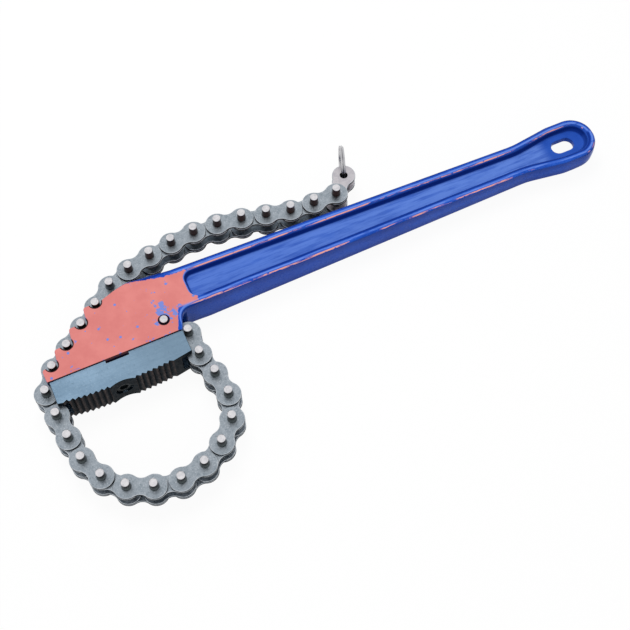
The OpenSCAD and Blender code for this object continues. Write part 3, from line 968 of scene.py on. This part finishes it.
def forging_outline():
    bulb_r = BULB_W / 2 - BULB_FLAT
    corners = [
        (NOTCH_1.x - NOSE_L + NOSE_LEAN, SEAT_Y, SEAT_ROUND),
        (-KEY_HALF, SEAT_Y, 0),
        (-KEY_HALF, SEAT_Y - KEY_H, 0),
        (KEY_HALF, SEAT_Y - KEY_H, 0),
        (KEY_HALF, SEAT_Y, 0),
        (JAW_HALF, SEAT_Y, SEAT_ROUND),
        (SHOULDER_X, AXIS_Y - half_width(SHOULDER_X), SHOULDER_ROUND),
        (FLARE_X, AXIS_Y - NECK_W / 2, FLARE_ROUND),
        (BULB_X, AXIS_Y - BULB_W / 2, BULB_ROUND),
        (HANDLE_END, AXIS_Y - BULB_W / 2, bulb_r),
        (HANDLE_END, AXIS_Y + BULB_W / 2, bulb_r),
        (BULB_X, AXIS_Y + BULB_W / 2, BULB_ROUND),
        (FLARE_X, AXIS_Y + NECK_W / 2, FLARE_ROUND),
        (TAPER_X, AXIS_Y + ROOT_W / 2, 0),
        (CREST_X, AXIS_Y + ROOT_W / 2 + CREST_RISE, CREST_ROUND),
    ]
    before = Vector(corners[-1][:2])
    for k in range(NOTCHES - 1, -1, -1):
        c = notch(k)
        wall = c + NOTCH_WALL * NOTCH_R
        floor = c + Vector((-NOTCH_WALL.x * NOTCH_R, -SHELF_DROP))
        tip = c + Vector((-(SHELF_L if k else NOSE_L), -SHELF_DROP))
        a0 = heading(cut_circle(wall, before, c, NOTCH_R) - c)
        a1 = heading(cut_circle(floor, tip, c, NOTCH_R) - c)
        if a1 > a0:
            a1 -= TURN
        corners += [(p.x, p.y, 0) for p in arc_points(c, NOTCH_R, a0, a1)]
        corners.append((tip.x, tip.y, HOOK_ROUND))
        before = tip
    return rounded_path(corners)


def recess_outline():
    b = BULB_W / 2 - RIM_W
    w = half_width(RECESS_X) - RIM_W
    n = NECK_W / 2 - RIM_W
    half = [(RECESS_X, -w, RECESS_ROUND), (FLARE_X, -n, FLARE_ROUND), (BULB_X, -b, BULB_ROUND - RIM_W),
            (HANDLE_END - RIM_W, -b, b - BULB_FLAT)]
    other = [(x, -y, r) for x, y, r in reversed(half)]
    return rounded_path([(x, AXIS_Y + y, r) for x, y, r in half + other])


def hole_outline():
    corners = [(sx * HOLE_L / 2, sy * HOLE_W / 2) for sx, sy in ((-1, -1), (1, -1), (1, 1), (-1, 1))]
    return rounded_path([(HOLE_X + x, AXIS_Y + y, HOLE_W / 2 - 0.01) for x, y in corners], 0.8)


def forging_cutters():
    """Slot behind the notches and pocket around the anchor pin, in which the chain runs."""
    far = heading(PINS[HOOKED_PIN] - PINS[HOOKED_PIN - 1])
    between = (far + NOTCH_SLOPE) / 2 - math.pi / 2
    bend = NOTCH_1 + SLOT_R / math.cos((far - NOTCH_SLOPE) / 2) * along(between)
    low = NOTCH_1 + SLOT_R * along(far - math.pi / 2) - 3 * PITCH * along(far)
    high = NOTCH_1 + 7 * PITCH * along(NOTCH_SLOPE) + SLOT_R * along(NOTCH_SLOPE - math.pi / 2)
    up = along(NOTCH_SLOPE + math.pi / 2)
    back = NOTCH_1 - 6 * PITCH * along(NOTCH_SLOPE)
    slot = [low, bend, high, high + 5 * PITCH * up, back + 6 * PITCH * up, back - 2 * PITCH * up]
    a = heading(PINS[1] - PINS[0])
    b = a + FIRST_SWING
    pocket = arc_points(ANCHOR, SLOT_R, a - math.pi / 2, b - 1.5 * math.pi, SLOT_STEP)[::-1]
    pocket += [ANCHOR + SLOT_R * along(a - math.pi / 2) + 3 * PITCH * along(a),
               ANCHOR + SLOT_R * along(b + math.pi / 2) + 3 * PITCH * along(b)]
    return [prism("cutter_slot", slot, SLOT_W / 2), prism("cutter_pocket", pocket, SLOT_W / 2)]


def make_forging():
    s = Shell()
    rim = forging_outline()
    out = side_normals(rim)
    radius = [edge_radius(p) for p in rim]
    draft = [EDGE_DRAFT * (r - EDGE_SHARP) for r in radius]
    top = [face_z(p.x) for p in rim]
    pocket = recess_outline()
    pocket_out = side_normals(pocket)
    pocket_top = [face_z(p.x) for p in pocket]
    hole = hole_outline()
    hole_out = side_normals(hole)
    sunk = circle_points(ANCHOR, PIN_R + ANCHOR_GAP, SUNK_STEP)
    web = NECK_T / 2 - RECESS_D
    middle = s.level(rim, 0.0)
    throats = []
    for side in (1, -1):
        edge = [middle]
        for a in EDGE_STEPS:
            inset = [d + r * (1 - math.cos(a)) for d, r in zip(draft, radius)]
            zs = [side * (t - r * (1 - math.sin(a))) for t, r in zip(top, radius)]
            edge.append(s.ring([p - o * i for p, o, i in zip(rim, out, inset)], zs))
        wall = []
        for offset, depth in RECESS_RINGS:
            pts = [p + o * offset * wall_run(p) for p, o in zip(pocket, pocket_out)]
            wall.append(s.ring(pts, [side * (t - depth) for t in pocket_top]))
        well = [s.level(sunk, side * (HEAD_T / 2 - z)) for z in (0.0, ANCHOR_SINK)]
        brim = [s.level([p + o * offset for p, o in zip(hole, hole_out)], side * (web - depth))
                for offset, depth in HOLE_RINGS]
        s.fill(s.chained(edge), [wall[0], well[0]], side > 0)
        s.fill(s.chained(well), [], side > 0)
        s.fill(s.chained(wall), [brim[0]], side > 0)
        throats.append(s.chained(brim))
    s.bridge(throats[0], throats[1])
    obj = add_object("forging", s.mesh("forging"))
    mesh = cut(obj, forging_cutters())
    mouth = [p + o * RECESS_MOUTH for p, o in zip(pocket, pocket_out)]
    edges = ring_edges(len(mouth))
    dress(mesh, ["paint", "recess"],
          lambda f: "recess" if inside(Vector(f.center[:2]) * TO_MM, mouth, edges) else "paint")
    shade(mesh, FORGING_CREASE)
    weighted(obj)
    finish_piece(obj, "forging", "root", "handle")


# Chain
def plate_outline():
    """Two round ends and a hollowed waist."""
    r, w = PLATE_R, WAIST
    hollow = (PITCH ** 2 / 4 + w * w - r * r) / (2 * (r - w))
    centre = Vector((PITCH / 2, w + hollow))
    touch = heading(centre)
    pts = arc_points(Vector((0, 0)), r, touch, TURN - touch, END_STEP)
    pts += arc_points(Vector((PITCH / 2, -w - hollow)), hollow, math.pi - touch, touch, WAIST_STEP)[1:-1]
    pts += arc_points(Vector((PITCH, 0)), r, touch - math.pi, math.pi - touch, END_STEP)
    pts += arc_points(centre, hollow, -touch, touch - math.pi, WAIST_STEP)[1:-1]
    return pts


def plate_mesh(name, near_r, far_r):
    """Link plate with two holes and softly rounded edges."""
    s = Shell()
    pts = plate_outline()
    normals = side_normals(pts)
    half = PLATE_T / 2
    circles = [circle_points(Vector((x, 0)), r) for x, r in ((0, near_r), (PITCH, far_r))]
    edges = []
    bores = [[], []]
    for side in (1, -1):
        soft = []
        for a in (0, 30, 60, 90):
            inset = PLATE_SOFT * (1 - math.cos(math.radians(a)))
            drop = PLATE_SOFT * (1 - math.sin(math.radians(a)))
            soft.append(s.level([p - n * inset for p, n in zip(pts, normals)], side * (half - drop)))
        edges.append(soft[0])
        lips = [s.level(circle, side * half) for circle in circles]
        for bore, lip in zip(bores, lips):
            bore.append(lip)
        s.fill(s.chained(soft), lips, side > 0)
    for a, b in [edges] + bores:
        s.bridge(a, b)
    return s.mesh(name)


def bush_mesh(name, bore_r):
    half = BUSH_LEN / 2
    return lathe(name, [(bore_r, -half), (BUSH_R, -half), (BUSH_R, half), (bore_r, half), (bore_r, -half)])


def dress_plate(mesh, top, edge, *more):
    """Flat sides, soft edges with a painted highlight, and an outline in painted shade."""
    def pick(p):
        z = abs(p.normal.z)
        return top if z > PLATE_FLAT else "plate_rim_highlight" if z > PLATE_RIM else edge

    dress(mesh, [top, "plate_rim_highlight", edge, *more], pick)
    shade(mesh, CHAIN_CREASE)


def inner_mesh(edge, near_r=BORE_R, top="plate"):
    """Inner link: two plates on two bushes."""
    plate = plate_mesh("inner_plate", near_r, BORE_R)
    dress_plate(plate, top, edge, "bush")
    bushes = [bush_mesh("bush", r) for r in (near_r, BORE_R)]
    for m in bushes:
        dress(m, [top, "plate_rim_highlight", edge, "bush"], lambda p: "bush")
        shade(m, CHAIN_CREASE)
    z = (BUSH_LEN + PLATE_T) / 2
    return joined("inner_link", [(plate, move(z=z)), (plate, move(z=-z)), (bushes[0], move()),
                                 (bushes[1], move(PITCH))])


def outer_mesh(edge):
    """Pair of outer plates."""
    plate = plate_mesh("outer_plate", PIN_R, PIN_R)
    dress_plate(plate, "plate", edge)
    z = (BUSH_LEN + PLATE_T) / 2 + PLATE_T + SIDE_PLAY
    return joined("outer_plates", [(plate, move(z=z)), (plate, move(z=-z))])


def pin_mesh(side):
    """Pin with bright ends; its sides take the steel named by side, which is painted shade."""
    upper = [(r, PIN_LEN / 2 - drop) for r, drop in PIN_END]
    pin = lathe("pin", upper + [(r, -z) for r, z in reversed(upper)], 48)
    dress(pin, ["pin_end", side], lambda p: "pin_end" if abs(p.normal.z) > PIN_FLAT else side)
    shade(pin, CHAIN_CREASE)
    return pin


def pair_mesh(pin):
    return joined("pins", [(pin, move()), (pin, move(PITCH))])


def add_piece(name, mesh, place, slot_name, body, node):
    obj = add_object(name, mesh)
    obj.matrix_world = place
    weighted(obj)
    finish_piece(obj, slot_name, body, node)


def make_chain():
    """The links, with browner painted shade and a warm painted reflection on the tail's outlines and pin
    sides; a wider bore at the open pin and a paler last link.
    """
    pin = pin_mesh("pin_side_shade")
    loop = (inner_mesh("plate_edge_shade"), outer_mesh("plate_edge_shade"), pair_mesh(pin))
    tail = (inner_mesh("tail_edge_shade"), outer_mesh("tail_edge_shade"), pair_mesh(pin_mesh("tail_side_shade")))
    slack = inner_mesh("plate_edge_shade", SLACK_R)
    last = inner_mesh("tail_edge_shade", top="end_plate")
    for i in range(LINKS):
        inner, outer, pair = tail if i >= TAIL_FROM else loop
        inner = {OPEN_PIN: slack, LINKS - 1: last}.get(i, inner)
        place = Matrix.Translation(PINS[i]) @ Matrix.Rotation(heading(PINS[i + 1] - PINS[i]), 4, "Z")
        body = "link_%02d" % i
        if i % 2 == 0:
            add_piece("inner_%02d" % i, inner, place, "chain_steel", body, "inner_link_%02d" % i)
        else:
            add_piece("outer_%02d" % i, outer, place, "chain_steel", body, "outer_plates_%02d" % i)
            add_piece("rods_%02d" % i, pair, place, "pin_steel", body, "pins_%02d" % i)
    add_piece("anchor_rod", pin, Matrix.Translation(PINS[0]), "pin_steel", "root", "anchor_pin")


# Jaw and screw
def soft_edged(obj, width, mats, pick):
    """Breaks the object's edges and gives its faces their materials."""
    bm = bmesh.new()
    bm.from_mesh(obj.data)
    bmesh.ops.remove_doubles(bm, verts=bm.verts, dist=10 * MERGE)
    bmesh.ops.dissolve_limit(bm, angle_limit=math.radians(FLAT_ANGLE), verts=bm.verts, edges=bm.edges)
    bm.to_mesh(obj.data)
    bm.free()
    m = obj.modifiers.new("Edges", "BEVEL")
    m.width = width * MM
    m.segments = 2
    m.limit_method = "ANGLE"
    m.angle_limit = math.radians(BEVEL_ANGLE)
    m.use_clamp_overlap = False
    mesh = baked(obj)
    dress(mesh, mats, pick)
    shade(mesh, JAW_CREASE)
    weighted(obj)


def tip_y(x):
    """The line of the teeth's tips rises towards the jaw's ends."""
    return JAW_RISE * abs(x / JAW_HALF) ** 3 - JAW_DROP


def tooth_row(side, count):
    """One row of teeth from the arch outwards, with steep inner flanks in the notches."""
    pts = []
    for i in range(count + 1):
        x = side * (ARCH_HALF + i * TOOTH_PITCH) - ARCH_OFF
        pts.append(Vector((x, tip_y(x))))
        if i < count:
            x += side * (1 - TOOTH_LEAN) * TOOTH_PITCH
            pts.append(Vector((x, tip_y(x) + TOOTH_H)))
    return pts


def jaw_outline():
    r = (ARCH_HALF ** 2 + ARCH_SAG ** 2) / (2 * ARCH_SAG)
    centre = Vector((-ARCH_OFF, tip_y(ARCH_HALF) + ARCH_SAG - r))
    half = math.asin(ARCH_HALF / r)
    key = KEY_HALF + KEY_PLAY
    key_top = SEAT_Y - KEY_H - KEY_GAP
    end = JAW_RISE - JAW_DROP
    pts = [Vector((-JAW_HALF, end))] + tooth_row(-1, TEETH_FAR)[:0:-1]
    pts += arc_points(centre, r, math.pi / 2 + half, math.pi / 2 - half, ARCH_STEP)
    pts += tooth_row(1, TEETH)[1:]
    back = [(JAW_HALF, end), (JAW_HALF, SEAT_Y), (key, SEAT_Y), (key, key_top), (-key, key_top),
            (-key, SEAT_Y), (-JAW_HALF, SEAT_Y)]
    return pts + [Vector(p) for p in back]


def jaw_cutters():
    """Slots at both ends, in which the chain runs, and the screw's stepped bore."""
    cutters = []
    for side in (1, -1):
        left, right = sorted((side * (JAW_HALF - JAW_SLOT), side * (JAW_HALF + JAW_SLOT)))
        box = [(left, CUT_LOW), (right, CUT_LOW), (right, CUT_HIGH), (left, CUT_HIGH)]
        cutters.append(prism("cutter_end", [Vector(p) for p in box], SLOT_W / 2))
    profile = [(0.0, CUT_LOW), (SCREW_HEAD_R, CUT_LOW), (SCREW_HEAD_R, SCREW_SEAT), (SCREW_R, SCREW_SEAT),
               (SCREW_R, CUT_HIGH), (0.0, CUT_HIGH)]
    bore = add_object("cutter_bore", lathe("cutter_bore", profile, 64))
    bore.matrix_world = move(-ARCH_OFF) @ Matrix.Rotation(-math.pi / 2, 4, "X")
    bpy.context.view_layer.update()
    return cutters + [bore]


# The jaw's soft edges take a painted highlight; its front, ends and sides take painted shade
def jaw_face(p):
    n = p.normal
    if abs(n.z) > JAW_FLAT:
        return "jaw"
    if n.y < -0.05 or p.center.y < JAW_FRONT_Y * MM and abs(n.x) < 0.9:
        return "shaded_jaw_front"
    return "jaw_edge_highlight" if abs(n.z) > JAW_RIM else "jaw_end_shade"


def make_jaw():
    obj = prism("toothed_jaw", jaw_outline(), JAW_T / 2)
    cut(obj, jaw_cutters())
    soft_edged(obj, JAW_SOFT, ["jaw", "jaw_edge_highlight", "jaw_end_shade", "shaded_jaw_front"], jaw_face)
    finish_piece(obj, "jaw_steel", "root", "jaw")


def make_screw():
    """The solid's form, at the middle of the arch."""
    src = nodes["jaw_screw"]
    mesh = src.data.copy()
    mesh.transform(move(-ARCH_OFF, SCREW_SHIFT) @ src.matrix_world)
    obj = add_object("socket_screw", mesh)
    soft_edged(obj, SCREW_SOFT, ["screw"], lambda p: "screw")
    finish_piece(obj, "screw_steel", "root", "jaw_screw")


# Split ring
def ring_path():
    """Middle line of the wire: two turns with a step between them."""
    path = []
    for i in range(WIRE_STEPS + 1):
        t = (2 * TURN - RING_SHORT) * i / WIRE_STEPS
        lift = WIRE_SPREAD * WIRE_R * (2 * smooth(t, TURN + RING_STEP[0], TURN + RING_STEP[1]) - 1)
        a = t + RING_START
        path.append(Vector((RING_R * math.cos(a), lift, RING_R * math.sin(a))))
    return path


def make_ring():
    low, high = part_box("ring")
    centre = (low + high) / 2
    s = Shell()
    path = ring_path()
    rings = []
    for i, p in enumerate(path):
        t = (path[min(i + 1, WIRE_STEPS)] - path[max(i - 1, 0)]).normalized()
        u = Vector((p.x, 0, p.z)).normalized()
        v = t.cross(u)
        r = WIRE_R * (WIRE_THIN if 0 < i < WIRE_STEPS else WIRE_TIP)
        turns = [TURN * j / WIRE_SIDES for j in range(WIRE_SIDES)]
        rings.append(s.loop([p + (u * math.cos(a) + v * math.sin(a)) * r for a in turns]))
    s.faces.append(tuple(reversed(rings[0])))
    s.faces.append(tuple(s.chained(rings)))
    mesh = s.mesh("split_ring")
    mesh.materials.append(MATS["ring"])
    shade(mesh, RING_CREASE)
    obj = add_object("split_ring", mesh)
    turn = heading(centre - joint_at["ring_swing"])
    obj.matrix_world = Matrix.Translation(centre) @ Matrix.Rotation(turn, 4, "Z")
    finish_piece(obj, "ring_steel", "ring", "ring")


make_forging()
make_chain()
make_jaw()
make_screw()
make_ring()


# Floor, light and camera
def seen_by(tree, *rays):
    """1 for rays of the named kinds, else 0."""
    path = tree.nodes.new("ShaderNodeLightPath")
    seen = path.outputs[rays[0]]
    for ray in rays[1:]:
        most = tree.nodes.new("ShaderNodeMath")
        most.operation = "MAXIMUM"
        tree.links.new(seen, most.inputs[0])
        tree.links.new(path.outputs[ray], most.inputs[1])
        seen = most.outputs[0]
    return seen


def floor_white():
    """White as seen and as mirrored, matte for all other light."""
    mat = bpy.data.materials.new("floor_white")
    mat.use_nodes = True
    tree = mat.node_tree
    tree.nodes.clear()
    out = tree.nodes.new("ShaderNodeOutputMaterial")
    mix = tree.nodes.new("ShaderNodeMixShader")
    glow = tree.nodes.new("ShaderNodeEmission")
    matte = tree.nodes.new("ShaderNodeBsdfDiffuse")
    share = tree.nodes.new("ShaderNodeMath")
    share.operation = "MULTIPLY"
    share.inputs[1].default_value = FLOOR_GLOW
    glow.inputs["Strength"].default_value = 1.0
    matte.inputs["Color"].default_value = FLOOR_WHITE
    tree.links.new(seen_by(tree, "Is Camera Ray", "Is Glossy Ray"), share.inputs[0])
    tree.links.new(share.outputs[0], mix.inputs[0])
    tree.links.new(matte.outputs[0], mix.inputs[1])
    tree.links.new(glow.outputs[0], mix.inputs[2])
    tree.links.new(mix.outputs[0], out.inputs[0])
    return mat


def make_floor():
    mesh = bpy.data.meshes.new("floor")
    a = FLOOR_HALF
    z = FLOOR_Z * MM
    mesh.from_pydata([(-a, -a, z), (a, -a, z), (a, a, z), (-a, a, z)], [], [(0, 1, 2, 3)])
    obj = add_object("floor", mesh)
    mesh.materials.append(floor_white())


def make_world():
    world = bpy.data.worlds.new("studio")
    scene.world = world
    world.use_nodes = True
    tree = world.node_tree
    sky = tree.nodes["Background"]
    sky.inputs["Color"].default_value = (1, 1, 1, 1)
    level = tree.nodes.new("ShaderNodeMapRange")
    level.inputs["To Min"].default_value = SKY_LIGHT
    level.inputs["To Max"].default_value = 1.0
    seen = seen_by(tree, "Is Camera Ray", "Is Glossy Ray", "Is Transmission Ray")
    tree.links.new(seen, level.inputs["Value"])
    tree.links.new(level.outputs[0], sky.inputs["Strength"])


def make_lamp(name, at, target, power):
    data = bpy.data.lights.new(name, "AREA")
    data.shape = "DISK"
    data.size = LAMP_SIZE
    data.energy = power
    obj = add_object(name, data)
    obj.location = at
    obj.rotation_euler = (Vector(target) - Vector(at)).to_track_quat("-Z", "Y").to_euler()
    obj.visible_glossy = False


def make_camera():
    data = bpy.data.cameras.new("camera")
    data.lens = LENS
    data.sensor_width = SENSOR
    data.clip_start = 0.01
    cam = add_object("camera", data)
    right = CAMERA_RIGHT.normalized()
    ahead = CAMERA_AHEAD.normalized()
    up = right.cross(ahead)
    m = Matrix((right, up, -ahead)).transposed().to_4x4()
    m.translation = CAMERA_AT * MM
    cam.matrix_world = m
    scene.camera = cam


make_floor()
make_world()
for lamp in LAMPS:
    make_lamp(*lamp)
make_camera()
scene.view_settings.view_transform = "Standard"
